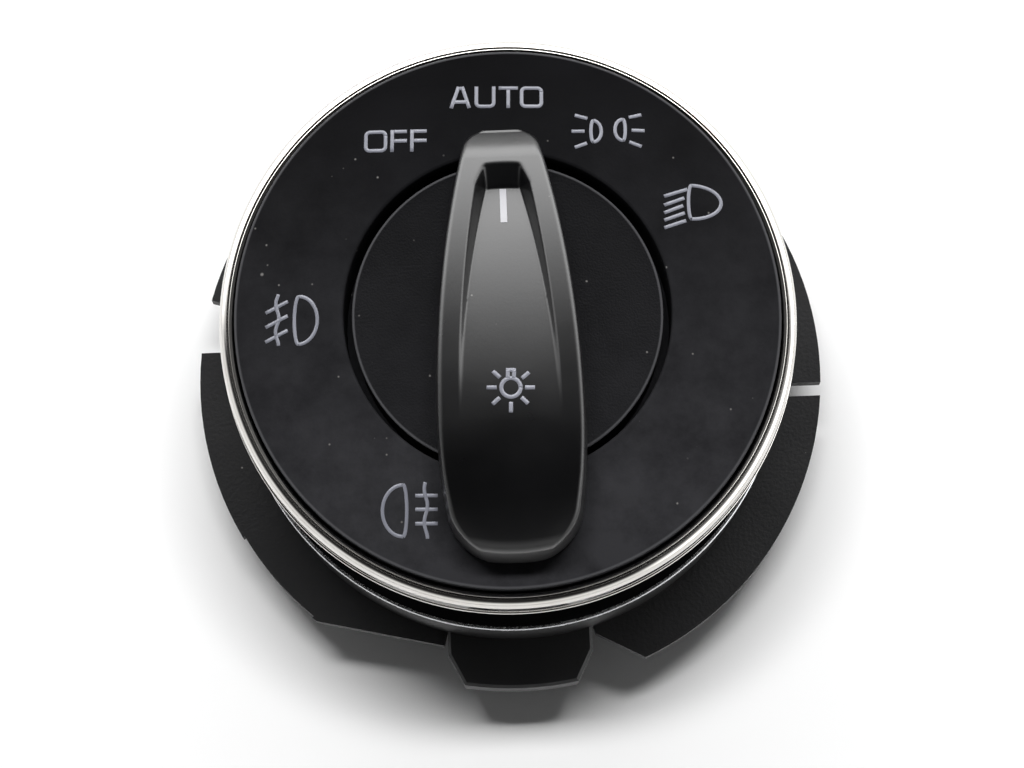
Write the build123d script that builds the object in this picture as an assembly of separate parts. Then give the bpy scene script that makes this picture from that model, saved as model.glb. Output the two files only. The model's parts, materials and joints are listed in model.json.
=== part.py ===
from build123d import *
from math import cos, radians, sin, sqrt, tan
import os

# Rotary headlight switch, millimetres. The knob's axis is Z, the face looks up, the pointer end is +Y.
# Z = 0 is the flat back that the switch rests on.

# Housing
wing_level = 20.8
neck_length = 13.8
neck_radius = 36.0
neck_wall = 2.0
flange_thickness = 2.5
box_length = 54.0
box_width = 46.0
box_wall = 1.8
box_corner = 3.0
gusset_leg = 7.0
gusset_thickness = 1.6
gusset_spacing = 26.0

# Mounting wings
wing_radius = 42.6
right_slot_top = -2.2
right_slot_width = 1.85
right_wing_end = -66.6
left_wing_top = 5.1
left_wing_end = -130.3
left_upper_start = 163.0
wing_step_angle = -151.0
wing_step = 0.3
hidden_right_end = 62.0
hidden_left_end = 118.0
wing_foot_half_width = 10.3
right_foot_drop = 1.1
left_foot_drop = 2.0
tab_half_width = 9.8
tab_tip_half_width = 7.7
tab_reach = 6.7
tab_shoulder_drop = 4.9
tab_raise = 0.7
tab_depth = 5.0
tab_chamfer = 0.4

# Rear cover and plug socket
cover_thickness = 2.4
cover_rim_height = 2.0
cover_rim_thickness = 1.4
socket_length = 32.0
socket_width = 10.5
socket_depth = 12.5
socket_wall = 1.5
socket_center_y = -13.25
socket_key_width = 2.4
socket_key_depth = 0.9

# Collar, trim and face
bead_height = 1.0
bead_proud = 0.35
collar_length = 29.0
collar_step = 0.1
collar_wall = 2.2
spigot_wall = 1.6
spigot_clearance = 0.1
spigot_reach = 4.5
ring_height = 8.1
ring_clearance = 0.25
ring_wall = 1.4
ring_bead_width = 0.55
ring_bead_rise = 0.1
ring_groove_width = 0.15
ring_groove_depth = 0.4
ring_crown_drop = 0.7
ring_foot_flare = 0.3
ring_foot_groove = 0.2
ring_lip_flare = 0.35
ring_lip_height = 1.15
ring_bulge = 0.05
face_step = 1.55
face_rise = 2.6
face_wall = 1.8
face_rim_width = 1.2
well_radius = 20.5
well_wall = 0.9
well_depth = 11.5
well_floor = 1.2
well_hole_radius = 9.0
edge_round = 0.35

# Knob
disc_radius = 19.5
disc_drop = 1.35
disc_thickness = 1.8
skirt_depth = 5.5
skirt_wall = 1.4
boss_radius = 6.5
boss_depth = 6.0
grip_far_reach = 23.1
grip_near_reach = 31.5
grip_half_width = 9.3
grip_widest_y = -14.3
grip_flank_radius = 142.4
grip_hip_radius = 80.0
grip_end_radius = 22.0
grip_tip_corner = 2.4
grip_end_corner = 4.4
grip_underside = 3.0
grip_crest = 15.5
grip_crest_y = -15.5
grip_front_arc = 82.0
grip_rear_arc = 32.0
grip_tip_height = 4.5
grip_tip_chamfer = 2.0
grip_draft = 2.0
grip_edge_round = 1.9
grip_pad_inset = 0.8
recess_end_y = 17.0
recess_end_half_width = 2.3
recess_mid_half_width = 3.5
recess_low_half_width = 3.9
recess_rim_y = 17.85
recess_arch_radius = 10.0
recess_floor_arc = 48.0
recess_floor_end_y = 14.95
recess_sink = 0.03
recess_draft = 16.0
recess_corner = 1.2
pointer_width = 0.82
pointer_far_y = 14.8
pointer_near_y = 10.05
pointer_foot = 2.0
peg_radius = 1.5
peg_length = 3.6
peg_spacing = 11.0
peg_y = -6.0

# Shaft and its pull steps
shaft_side = 7.0
shaft_corner = 0.6
shaft_top_drop = 1.2
pull_step = 3.5
pull_groove_radius = 0.55
hairpin_wire_radius = 0.4
hairpin_depth = 0.25
hairpin_lead = 3.0
hairpin_proud = 1.2
tail_neck_radius = 3.0
tail_neck_length = 2.6
tail_button_radius = 4.6
tail_button_height = 1.7
tail_level = 11.0
clip_width = 5.0
clip_height = 4.5
clip_thickness = 0.4
clip_lip = 1.2

# Rotor
drum_radius = 14.5
drum_height = 8.5
drum_lift = 1.5
sleeve_radius = 8.0
sleeve_rise = 5.5
spigot_radius = 6.9
spigot_length = 2.4
detent_step = 30.0
detent_positions = (-2, -1, 0, 1)
notch_radius = 1.6
notch_offset = 0.3
stop_peg_radius = 1.2
stop_peg_place = 11.8
stop_depth = 2.5
washer_radius = 9.8
washer_thickness = 0.5
deck_thickness = 2.5
wiper_thickness = 0.3
wiper_inner_radius = 8.6
wiper_outer_radius = 13.2
wiper_angle = 36.0
wiper_bump_radius = 0.8

# Turn detent spring
leaf_thickness = 0.4
leaf_height = 5.0
leaf_half_span = 9.0
leaf_sag = 1.0
leaf_nose_reach = 1.0
leaf_nose_half_width = 1.5
leaf_stand_off = 1.9
leaf_post_width = 2.0

# Boards, contacts and lamps
board_margin = 1.4
board_thickness = 1.6
window_half_length = 15.0
window_near_y = -17.5
window_far_y = 15.0
track_thickness = 0.2
track_width = 1.5
track_gap = 0.8
track_inner_radius = 8.9
track_start = 20.0
track_sweep = 140.0
pin_columns = 6
pin_pitch = 4.6
pin_row_spacing = 4.5
pin_width = 1.8
pin_thickness = 0.8
pin_tip_level = 6.5
pin_stand = 0.6
led_board_drop = 12.0
led_board_thickness = 1.2
well_clearance = 0.8
led_place_radius = 27.4
led_angles = (120.0, 92.0, 60.0, 28.5, 180.0, 241.5)
led_side = 2.8
led_height = 1.4
resistor_length = 2.0
resistor_width = 1.2
resistor_height = 0.6
resistor_turn = 11.0
link_pin_side = 0.64
link_pin_pitch = 2.54
link_pin_count = 4
link_pin_y = 23.1
link_pin_proud = 0.8
link_slot_width = 2.4
guide_clearance = 0.15
guide_lift = 2.8
guide_skirt = 1.2

# Fog lamp slider
fork_thickness = 2.0
fork_half_width = 6.0
carriage_half_width = 8.0
carriage_near_y = 6.0
carriage_height = 5.2
carriage_gap_y = 1.8
rail_thickness = 1.5
rail_depth = 5.0
finger_columns = 3
finger_pitch = 4.0
finger_width = 1.6
finger_thickness = 0.3
finger_height = 3.0
fog_track_thickness = 0.3
fog_track_foot = 1.4

# Screws
cover_screw_inset = 2.8
screw_boss_radius = 3.0
screw_radius = 1.2
screw_head_radius = 2.4
screw_head_height = 1.6
screw_length = 10.0
screw_tip_room = 2.0
collar_post_inset = 1.5
collar_post_radius = 2.9
slot_cut_width = 0.7
slot_cut_depth = 0.6

# Clearances
running_gap = 0.3
bearing_clearance = 0.06
square_clearance = 0.12
fit_clearance = 0.05
screw_clearance = 0.15

# Levels worked out from the sizes above
bead_level = wing_level + neck_length
shoulder_level = bead_level + bead_height
face_level = shoulder_level + collar_length
collar_top = face_level - ring_height
well_edge = face_level + face_rise
disc_top = well_edge - disc_drop
disc_under = disc_top - disc_thickness
flange_under = wing_level - flange_thickness
contact_board_top = wing_level + board_thickness
drum_low = contact_board_top + drum_lift
drum_top = drum_low + drum_height
washer_level = drum_top + bearing_clearance
deck_low = washer_level + washer_thickness
deck_top = deck_low + deck_thickness
sleeve_top = deck_top + sleeve_rise
spigot_outer = neck_radius - neck_wall - spigot_clearance
spigot_inner = spigot_outer - spigot_wall
bead_radius = neck_radius + bead_proud
collar_radius = neck_radius - collar_step
face_radius = collar_radius - face_step
ring_inner_radius = face_radius + ring_clearance
ring_radius = ring_inner_radius + ring_wall
ring_foot_radius = ring_radius + ring_foot_flare
ring_lip_radius = ring_foot_radius + ring_lip_flare
collar_screw_place = spigot_inner - collar_post_inset
contact_board_radius = collar_screw_place - collar_post_radius - board_margin
hairpin_level = sleeve_top - hairpin_lead
fork_top = tail_level - running_gap
tab_radius = neck_radius + tab_reach
led_board_level = face_level - led_board_drop
guide_level = led_board_level + led_board_thickness + guide_lift
guide_outer_radius = face_radius - face_rim_width - guide_clearance
board_inner_radius = well_radius + well_wall + well_clearance
rail_low = cover_thickness + cover_rim_height
box_inner_length = box_length - 2 * box_wall
box_inner_width = box_width - 2 * box_wall
cover_screw_x = box_inner_length / 2 - cover_screw_inset
cover_screw_y = box_inner_width / 2 - cover_screw_inset


def plate(outline, low, high):
    """A flat outline drawn at Z = 0, raised between two levels."""
    return extrude(Plane.XY.offset(low) * outline, high - low, dir=(0, 0, 1))


def tapered(outline, low, high, draft):
    """A flat outline raised between two levels, its walls leaning in by the draft, or out if negative."""
    top = offset(outline, (low - high) * tan(radians(draft)))
    return loft([Plane.XY.offset(low) * outline.face(), Plane.XY.offset(high) * top.face()], ruled=True)


def tube(outer, inner, low, high):
    return plate(Circle(outer) - Circle(inner), low, high)


def rod(radius, low, high, x=0.0, y=0.0):
    return plate(Pos(x, y) * Circle(radius), low, high)


def block(x_range, y_range, z_range):
    size = [high - low for low, high in (x_range, y_range, z_range)]
    middle = [(high + low) / 2 for low, high in (x_range, y_range, z_range)]
    return Pos(*middle) * Box(*size)


def turned(points):
    """A ring whose section is a polygon of radius and height."""
    return revolve(Plane.XZ * make_face(Polyline(*points, close=True)), Axis.Z)


def around(radius, angle):
    return radius * cos(radians(angle)), radius * sin(radians(angle))


def sector(outer, start, end):
    """A pie slice from the axis out to a radius."""
    first = around(outer, start)
    last = around(outer, end)
    middle = around(outer, (start + end) / 2)
    edge = Line((0, 0), first) + ThreePointArc(first, middle, last) + Line(last, (0, 0))
    return make_face(edge)


def band(outer, inner, start, end):
    return sector(outer, start, end) - Circle(inner)


def at_level(radius, level):
    """The point on a circle where it crosses a given height Y."""
    return sqrt(radius**2 - level**2), level


# Housing

def right_upper_wing():
    start = at_level(wing_radius, right_slot_top)
    end = around(wing_radius, hidden_right_end)
    middle = around(wing_radius, hidden_right_end / 2)
    foot = 0, right_slot_top
    return make_face(Line(foot, start) + ThreePointArc(start, middle, end) + Line(end, foot))


def right_lower_wing():
    slot_bottom = right_slot_top - right_slot_width
    start = at_level(wing_radius, slot_bottom)
    end = around(wing_radius, right_wing_end)
    middle = around(wing_radius, right_wing_end / 2)
    foot = wing_foot_half_width, -at_level(neck_radius, wing_foot_half_width)[0] - right_foot_drop
    edge = Line((0, slot_bottom), start) + ThreePointArc(start, middle, end)
    edge += Line(end, foot) + Line(foot, (0, slot_bottom))
    return make_face(edge)


def left_lower_wing():
    x, y = at_level(wing_radius, left_wing_top)
    start = -x, y
    end = around(wing_radius, left_wing_end)
    middle = around(wing_radius, (left_wing_end - 180) / 2)
    foot = -wing_foot_half_width, -at_level(neck_radius, wing_foot_half_width)[0] - left_foot_drop
    edge = Line((0, left_wing_top), start) + ThreePointArc(start, middle, end)
    edge += Line(end, foot) + Line(foot, (0, left_wing_top))
    inner = wing_radius - wing_step
    return make_face(edge) - band(wing_radius + 1, inner, wing_step_angle, left_wing_end - 1)


def latch_tab():
    """The lower locating tab, a little proud of the wings."""
    root = -neck_radius + neck_wall
    side = tab_half_width, tab_shoulder_drop - tab_radius
    tip = tab_tip_half_width, -at_level(tab_radius, tab_tip_half_width)[0]
    mirrored = [(-side[0], side[1]), (-tip[0], tip[1])]
    edge = Line((-tab_half_width, root), (tab_half_width, root)) + Line((tab_half_width, root), side)
    edge += Line(side, tip) + ThreePointArc(tip, (0, -tab_radius), mirrored[1])
    edge += Line(mirrored[1], mirrored[0]) + Line(mirrored[0], (-tab_half_width, root))
    high = wing_level + tab_raise
    solid = plate(make_face(edge), high - tab_depth, high)
    solid = chamfer(solid.faces().sort_by(Axis.Z)[-1].edges(), tab_chamfer)
    return solid - rod(neck_radius - neck_wall, high - tab_depth, high)


def gusset(x, side):
    """A triangular rib between the box and the flange."""
    wall = side * box_width / 2
    tip = wall + side * gusset_leg
    corners = [(wall, flange_under), (tip, flange_under), (wall, flange_under - gusset_leg)]
    face = Plane.YZ * make_face(Polyline(*corners, close=True))
    return Pos(x, 0, 0) * extrude(face, gusset_thickness / 2, both=True)


def screw_corners():
    return [(x, y) for x in (-cover_screw_x, cover_screw_x) for y in (-cover_screw_y, cover_screw_y)]


def collar_screw_places():
    return [around(collar_screw_place, angle) for angle in (0, 90, 180, 270)]


def main_housing():
    wings = right_upper_wing() + right_lower_wing() + left_lower_wing()
    wings += sector(wing_radius, hidden_left_end, left_upper_start)
    body = plate(Circle(neck_radius) + wings, flange_under, wing_level)
    body += tube(neck_radius, neck_radius - neck_wall, wing_level, bead_level)
    body += latch_tab() + Rot(0, 0, 180) * latch_tab()
    outer = RectangleRounded(box_length, box_width, box_corner)
    inner = RectangleRounded(box_inner_length, box_inner_width, box_corner - box_wall)
    body += plate(outer - inner, cover_thickness, flange_under)
    for x in (-gusset_spacing / 2, gusset_spacing / 2):
        for side in (-1, 1):
            body += gusset(x, side)
    for x, y in screw_corners():
        body += rod(screw_boss_radius, rail_low, flange_under, x, y)
    rail_x = carriage_half_width + running_gap
    rail_y = box_inner_width / 2
    for side in (-1, 1):
        edges = sorted((side * rail_x, side * (rail_x + rail_thickness)))
        body += block(edges, (rail_y - rail_depth, rail_y), (rail_low, flange_under))
    window = (-window_half_length, window_half_length), (window_near_y, window_far_y)
    body -= block(*window, (flange_under, wing_level))
    for x, y in screw_corners():
        body -= rod(screw_radius + fit_clearance, 0, cover_thickness + screw_length + screw_tip_room, x, y)
    for x, y in collar_screw_places():
        body -= rod(screw_radius + screw_clearance, flange_under, wing_level, x, y)
    return body - link_pin_slot(flange_under, wing_level)


# Rear cover

def rear_cover():
    body = plate(RectangleRounded(box_length, box_width, box_corner), 0, cover_thickness)
    rim_length = box_inner_length - 2 * spigot_clearance
    rim_width = box_inner_width - 2 * spigot_clearance
    rim = RectangleRounded(rim_length, rim_width, box_corner - box_wall)
    rim -= Rectangle(rim_length - 2 * cover_rim_thickness, rim_width - 2 * cover_rim_thickness)
    rim_top = rail_low - fit_clearance
    rim_solid = plate(rim, cover_thickness, rim_top)
    for x, y in screw_corners():
        rim_solid -= rod(screw_boss_radius + fit_clearance, cover_thickness, rim_top, x, y)
    body += rim_solid
    cup = Rectangle(socket_length + 2 * socket_wall, socket_width + 2 * socket_wall)
    body += plate(Pos(0, socket_center_y) * cup, cover_thickness, socket_depth + socket_wall)
    body -= plate(Pos(0, socket_center_y) * Rectangle(socket_length, socket_width), 0, socket_depth)
    key_x = socket_key_width / 2
    key_y = socket_center_y + socket_width / 2
    body += block((-key_x, key_x), (key_y - socket_key_depth, key_y), (0, socket_depth))
    for slot in pin_slots(socket_depth, socket_depth + socket_wall):
        body -= slot
    for x, y in screw_corners():
        body -= rod(screw_radius + screw_clearance, 0, cover_thickness, x, y)
        body -= rod(screw_head_radius + screw_clearance, 0, screw_head_height, x, y)
    return body


def screw(x, y, head_low, head_high, tip):
    """A self-tapping screw with a cross-cut head, driven from below."""
    solid = rod(screw_head_radius, head_low, head_high, x, y) + rod(screw_radius, head_high, tip, x, y)
    for turn in (0, 90):
        cut = Box(2 * screw_head_radius - 1.2, slot_cut_width, 2 * slot_cut_depth)
        solid -= Pos(x, y, head_low) * Rot(0, 0, turn) * cut
    return solid


def cover_screws():
    head_low = screw_clearance
    tip = cover_thickness + screw_length
    return [screw(x, y, head_low, screw_head_height, tip) for x, y in screw_corners()]


def collar_screws():
    head_low = flange_under - screw_head_height
    tip = wing_level + screw_length - flange_thickness
    return [screw(x, y, head_low, flange_under, tip) for x, y in collar_screw_places()]


# Collar, trim and face

def leaf_posts():
    """Two pairs of posts under the deck that hold the ends of the leaf spring."""
    strip_x = -(drum_radius + leaf_stand_off)
    low = drum_low + (drum_height - leaf_height) / 2
    posts = []
    for side in (-1, 1):
        y_range = sorted((side * (leaf_half_span - leaf_post_width), side * leaf_half_span))
        outer_x = strip_x - leaf_sag - leaf_thickness / 2 - fit_clearance
        posts.append(block((outer_x - leaf_post_width, outer_x), y_range, (low, deck_low)))
    return posts


def front_collar():
    inner = collar_radius - collar_wall
    points = [
        (spigot_outer, bead_level - spigot_reach),
        (spigot_outer, shoulder_level),
        (collar_radius, shoulder_level),
        (collar_radius, collar_top),
        (inner, collar_top),
        (inner, led_board_level),
        (spigot_inner, led_board_level),
        (spigot_inner, deck_top),
        (sleeve_radius + bearing_clearance, deck_top),
        (sleeve_radius + bearing_clearance, deck_low),
        (spigot_inner, deck_low),
        (spigot_inner, bead_level - spigot_reach),
    ]
    body = turned(points)
    for x, y in collar_screw_places():
        body += rod(collar_post_radius, wing_level, deck_low, x, y)
    for post in leaf_posts():
        body += post
    stop_x, stop_y = around(stop_peg_place, 90)
    body += rod(stop_peg_radius, drum_top - stop_depth + running_gap, deck_low, stop_x, stop_y)
    for x, y in collar_screw_places():
        body -= rod(screw_radius + fit_clearance, wing_level, wing_level + screw_length, x, y)
    return body - link_pin_slot(deck_low, deck_top)


def collar_bead():
    """The bright ring clamped between the neck and the collar's shoulder."""
    solid = tube(bead_radius, spigot_outer + spigot_clearance, bead_level, shoulder_level)
    outer_edges = solid.edges().filter_by(GeomType.CIRCLE).group_by(SortBy.RADIUS)[-1]
    return fillet(outer_edges, bead_height * 0.3)


def chrome_ring():
    """A thin inner bead, a groove, a broad band that rolls over the rim, and a lip at its foot."""
    lip_top = collar_top + ring_lip_height
    band_low = lip_top + ring_foot_groove
    shoulder = face_level - ring_bead_rise
    groove_floor = face_level - ring_groove_depth
    bead_outer = ring_inner_radius + ring_bead_width
    crown_inner = bead_outer + ring_groove_width
    crown_end = ring_radius, face_level - ring_crown_drop
    bead_top = (ring_inner_radius + bead_outer) / 2, face_level + ring_bead_rise
    crown_top = (crown_inner + ring_radius) / 2, face_level + ring_bead_rise
    band_middle = (ring_radius + ring_foot_radius) / 2 + ring_bulge, (crown_end[1] + band_low) / 2
    edge = Line((ring_inner_radius, collar_top), (ring_inner_radius, shoulder))
    edge += ThreePointArc((ring_inner_radius, shoulder), bead_top, (bead_outer, shoulder))
    edge += Polyline(
        (bead_outer, shoulder),
        (bead_outer, groove_floor),
        (crown_inner, groove_floor),
        (crown_inner, shoulder),
    )
    edge += ThreePointArc((crown_inner, shoulder), crown_top, crown_end)
    edge += ThreePointArc(crown_end, band_middle, (ring_foot_radius, band_low))
    edge += Polyline(
        (ring_foot_radius, band_low),
        (ring_foot_radius - ring_foot_groove, band_low),
        (ring_foot_radius - ring_foot_groove, lip_top),
        (ring_lip_radius, lip_top),
        (ring_lip_radius, collar_top),
        (ring_inner_radius, collar_top),
    )
    return revolve(Plane.XZ * make_face(edge), Axis.Z)


def dome_height(radius, lowered=0.0):
    """Height of the face's crowned surface, or of one parallel to it, at a radius."""
    span = face_radius - well_radius
    reach = (radius - well_radius) / span
    return well_edge - lowered - face_rise * reach**1.5


def dome_line(inner, outer, lowered=0.0):
    middle = (inner + outer) / 2
    ends = [(radius, dome_height(radius, lowered)) for radius in (inner, middle, outer)]
    return ThreePointArc(*ends)


def bezel_face():
    """The crowned face with its seat rim and the well that the knob turns in."""
    well_low = well_edge - well_depth
    rim_inner = face_radius - face_rim_width
    tube_outer = well_radius + well_wall
    top = dome_line(well_radius, face_radius)
    under = dome_line(tube_outer, rim_inner, face_wall)
    points = [
        (face_radius, collar_top),
        (rim_inner, collar_top),
    ]
    edge = top + Line((face_radius, face_level), points[0]) + Line(*points)
    edge += Line(points[1], (rim_inner, dome_height(rim_inner, face_wall))) + under
    edge += Polyline(
        (tube_outer, dome_height(tube_outer, face_wall)),
        (tube_outer, well_low),
        (well_hole_radius, well_low),
        (well_hole_radius, well_low + well_floor),
        (well_radius, well_low + well_floor),
        (well_radius, well_edge),
    )
    solid = revolve(Plane.XZ * make_face(edge), Axis.Z)
    circles = solid.edges().filter_by(GeomType.CIRCLE)
    rims = [e for e in circles if abs(e.radius - well_radius) < 0.01 and e.center().Z > face_level]
    rims += [e for e in circles if abs(e.radius - face_radius) < 0.01 and e.center().Z > collar_top + 1]
    return fillet(rims, edge_round)


def light_guide():
    top_inner = board_inner_radius
    drop = face_wall + running_gap
    board_top = led_board_level + led_board_thickness
    top = dome_line(top_inner, guide_outer_radius, drop)
    edge = top + Polyline(
        (guide_outer_radius, dome_height(guide_outer_radius, drop)),
        (guide_outer_radius, board_top),
        (guide_outer_radius - guide_skirt, board_top),
        (guide_outer_radius - guide_skirt, guide_level),
        (top_inner, guide_level),
        (top_inner, dome_height(top_inner, drop)),
    )
    return revolve(Plane.XZ * make_face(edge), Axis.Z)


# Boards and lamps

def led_board():
    outer = collar_radius - collar_wall - running_gap
    low, high = led_board_level, led_board_level + led_board_thickness
    body = tube(outer, board_inner_radius, low, high)
    for hole in link_pin_blocks(fit_clearance, low, high):
        body -= hole
    return body


def leds():
    """One lamp under each symbol of the face."""
    low = led_board_level + led_board_thickness
    lamps = []
    for angle in led_angles:
        x, y = around(led_place_radius, angle)
        lamp = Pos(x, y, low + led_height / 2) * Rot(0, 0, angle) * Box(led_side, led_side, led_height)
        lamps.append(chamfer(lamp.faces().sort_by(Axis.Z)[-1].edges(), led_height / 4))
    return lamps


def board_resistors():
    low = led_board_level + led_board_thickness
    chips = []
    for angle in led_angles:
        x, y = around(led_place_radius, angle + resistor_turn)
        chip = Box(resistor_width, resistor_length, resistor_height)
        chips.append(Pos(x, y, low + resistor_height / 2) * Rot(0, 0, angle + resistor_turn) * chip)
    return chips


def link_pin_slot(low, high):
    """The opening that the row of link pins passes through."""
    half = link_pin_pitch * link_pin_count / 2
    y_range = (link_pin_y - link_slot_width / 2, link_pin_y + link_slot_width / 2)
    return block((-half, half), y_range, (low, high))


def link_pin_places():
    return [(i - (link_pin_count - 1) / 2) * link_pin_pitch for i in range(link_pin_count)]


def link_pin_blocks(clearance, low, high):
    half = link_pin_side / 2 + clearance
    y_range = link_pin_y - half, link_pin_y + half
    return [block((x - half, x + half), y_range, (low, high)) for x in link_pin_places()]


def link_pins():
    """Square posts that join the contact board with the lamp board."""
    board_top = led_board_level + led_board_thickness
    return link_pin_blocks(0, wing_level - link_pin_proud, board_top + link_pin_proud)


def pin_places():
    middle = (pin_columns - 1) / 2
    rows = (socket_center_y - pin_row_spacing / 2, socket_center_y + pin_row_spacing / 2)
    return [((i - middle) * pin_pitch, y) for i in range(pin_columns) for y in rows]


def pin_slots(low, high):
    """The slots that the blades pass through."""
    slot = Rectangle(pin_width + 2 * fit_clearance, pin_thickness + 2 * fit_clearance)
    return [plate(Pos(x, y) * slot, low, high) for x, y in pin_places()]


def contact_board():
    body = rod(contact_board_radius, wing_level, contact_board_top)
    body -= rod(spigot_radius + bearing_clearance, wing_level, contact_board_top)
    for hole in pin_slots(wing_level, contact_board_top):
        body -= hole
    for hole in link_pin_blocks(fit_clearance, wing_level, contact_board_top):
        body -= hole
    return body


def contact_tracks():
    """Two stamped arcs, the outer one split so that each knob position makes another circuit."""
    inner_edge = track_inner_radius + track_width
    outer_start = inner_edge + track_gap
    outlines = [band(inner_edge, track_inner_radius, track_start, track_start + track_sweep)]
    share = track_sweep / len(detent_positions)
    for i in range(len(detent_positions)):
        start = track_start + i * share
        outlines.append(band(outer_start + track_width, outer_start, start, start + share * 0.85))
    return [plate(outline, contact_board_top, contact_board_top + track_thickness) for outline in outlines]


def terminal_pins():
    blades = []
    outline = Rectangle(pin_width, pin_thickness)
    for x, y in pin_places():
        blade = plate(Pos(x, y) * outline, pin_tip_level, contact_board_top + pin_stand)
        blades.append(chamfer(blade.faces().sort_by(Axis.Z)[0].edges(), pin_thickness / 4))
    return blades


# Rotor

def leaf_spring():
    """A bent strip whose nose lies in the drum's notch."""
    strip_x = -(drum_radius + leaf_stand_off)
    nose_x = -(drum_radius - leaf_nose_reach) - leaf_thickness / 2
    half = [
        (strip_x - leaf_sag, leaf_half_span),
        (strip_x, 2 * leaf_nose_half_width),
        (strip_x + leaf_thickness, leaf_nose_half_width),
        (nose_x, 0),
    ]
    path = FilletPolyline(*half, *[(x, -y) for x, y in reversed(half[:-1])], radius=0.7)
    low = drum_low + (drum_height - leaf_height) / 2
    return plate(trace(path, line_width=leaf_thickness), low, low + leaf_height)


def thrust_washer():
    return tube(washer_radius, sleeve_radius + running_gap, washer_level, washer_level + washer_thickness)


def rotor_drum():
    body = rod(drum_radius, drum_low, drum_top) + rod(sleeve_radius, drum_top, sleeve_top)
    body += rod(spigot_radius, drum_low - spigot_length, drum_low)
    bore = shaft_side + 2 * square_clearance
    body -= block((-bore / 2, bore / 2), (-bore / 2, bore / 2), (drum_low - spigot_length, sleeve_top))
    for position in detent_positions:
        x, y = around(drum_radius + notch_offset, 180 - position * detent_step)
        body -= rod(notch_radius, drum_low, drum_top, x, y)
    stop_width = stop_peg_radius + running_gap
    stops = [90 - position * detent_step for position in (min(detent_positions), max(detent_positions))]
    slot = band(stop_peg_place + stop_width, stop_peg_place - stop_width, min(stops), max(stops))
    body -= plate(slot, drum_top - stop_depth, drum_top)
    for angle in stops:
        x, y = around(stop_peg_place, angle)
        body -= rod(stop_width, drum_top - stop_depth, drum_top, x, y)
    wire = hairpin_wire_radius + fit_clearance
    for side in (-1, 1):
        y = side * hairpin_wire_y()
        cut_y = sorted((y - side * wire, side * sleeve_radius))
        body -= block((-sleeve_radius, sleeve_radius), cut_y, (hairpin_level - wire, hairpin_level + wire))
    return body


def hairpin_wire_y():
    """How far the wire's middle lies from the axis, with the wire's edge in the shaft's groove."""
    return shaft_side / 2 + hairpin_wire_radius - hairpin_depth


def pull_spring():
    """A hairpin of round wire that straddles the sleeve."""
    y = hairpin_wire_y()
    far, bend = -sleeve_radius - hairpin_proud, sleeve_radius
    path = Line((far, y), (bend, y)) + ThreePointArc((bend, y), (bend + y, 0), (bend, -y))
    path += Line((bend, -y), (far, -y))
    section = Plane((far, y, 0), z_dir=(1, 0, 0)) * Circle(hairpin_wire_radius)
    return Pos(0, 0, hairpin_level) * sweep(section, path)


def rotor_wiper():
    """A stamped bridge under the drum with bumps that run on the tracks."""
    high = drum_low
    low = high - wiper_thickness
    bump_height = low - contact_board_top - track_thickness - fit_clearance
    start = 90 - wiper_angle / 2
    body = plate(band(wiper_outer_radius, wiper_inner_radius, start, start + wiper_angle), low, high)
    first = track_inner_radius + track_width / 2
    for radius in (first, first + track_width + track_gap):
        for turn in (-1, 1):
            x, y = around(radius, 90 + turn * wiper_angle / 3)
            bump = Pos(x, y, low) * Cone(wiper_bump_radius * 0.5, wiper_bump_radius, bump_height,
                                         align=(Align.CENTER, Align.CENTER, Align.MAX))
            body += bump
    return body


# Knob

def knob_shaft():
    top = disc_top - shaft_top_drop
    body = plate(RectangleRounded(shaft_side, shaft_side, shaft_corner), tail_level, top)
    body += rod(tail_neck_radius, tail_level - tail_neck_length, tail_level)
    button_high = tail_level - tail_neck_length
    body += rod(tail_button_radius, button_high - tail_button_height, button_high)
    for step in range(3):
        level = hairpin_level - step * pull_step
        for side in (-1, 1):
            y = side * (hairpin_wire_y())
            groove = Rot(0, 90, 0) * Cylinder(pull_groove_radius, shaft_side)
            body -= Pos(0, y, level) * groove
    return body


def clip_pocket(clearance):
    """The space beside the shaft that the clip fills."""
    half = clip_width / 2 + clearance
    inner = shaft_side / 2 + fit_clearance
    outer = inner + clip_thickness + clearance
    low = disc_under - boss_depth
    return block((-half, half), (inner, outer), (low, low + clip_height + clearance))


def shaft_clip():
    """A steel strip with a hooked foot under the boss."""
    half = clip_width / 2
    inner = shaft_side / 2 + fit_clearance
    low = disc_under - boss_depth
    strip = block((-half, half), (inner, inner + clip_thickness), (low - clip_thickness, low + clip_height))
    foot = block((-half, half), (inner, inner + clip_lip), (low - clip_thickness, low))
    return strip + foot


def knob_disc():
    body = rod(disc_radius, disc_under, disc_top)
    body = fillet(body.faces().sort_by(Axis.Z)[-1].edges(), edge_round)
    body += tube(disc_radius, disc_radius - skirt_wall, disc_under - skirt_depth, disc_under)
    body += rod(boss_radius, disc_under - boss_depth, disc_under)
    hole = shaft_side / 2 + fit_clearance
    low = disc_under - boss_depth
    body -= block((-hole, hole), (-hole, hole), (low, disc_top - shaft_top_drop + fit_clearance))
    body -= clip_pocket(fit_clearance)
    for x in peg_places():
        body -= rod(peg_radius + fit_clearance, disc_under, disc_top, x, peg_y)
    return body - pointer_slot(fit_clearance, disc_under)


def peg_places():
    return -peg_spacing / 2, peg_spacing / 2


def half_width(y):
    """Half the grip's width at a place along it."""
    radius = grip_flank_radius if y > grip_widest_y else grip_hip_radius
    return grip_half_width - radius + sqrt(radius**2 - (y - grip_widest_y) ** 2)


def end_y(x):
    """The rounded near end of the grip's outline."""
    return -grip_near_reach + grip_end_radius - sqrt(grip_end_radius**2 - x**2)


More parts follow.
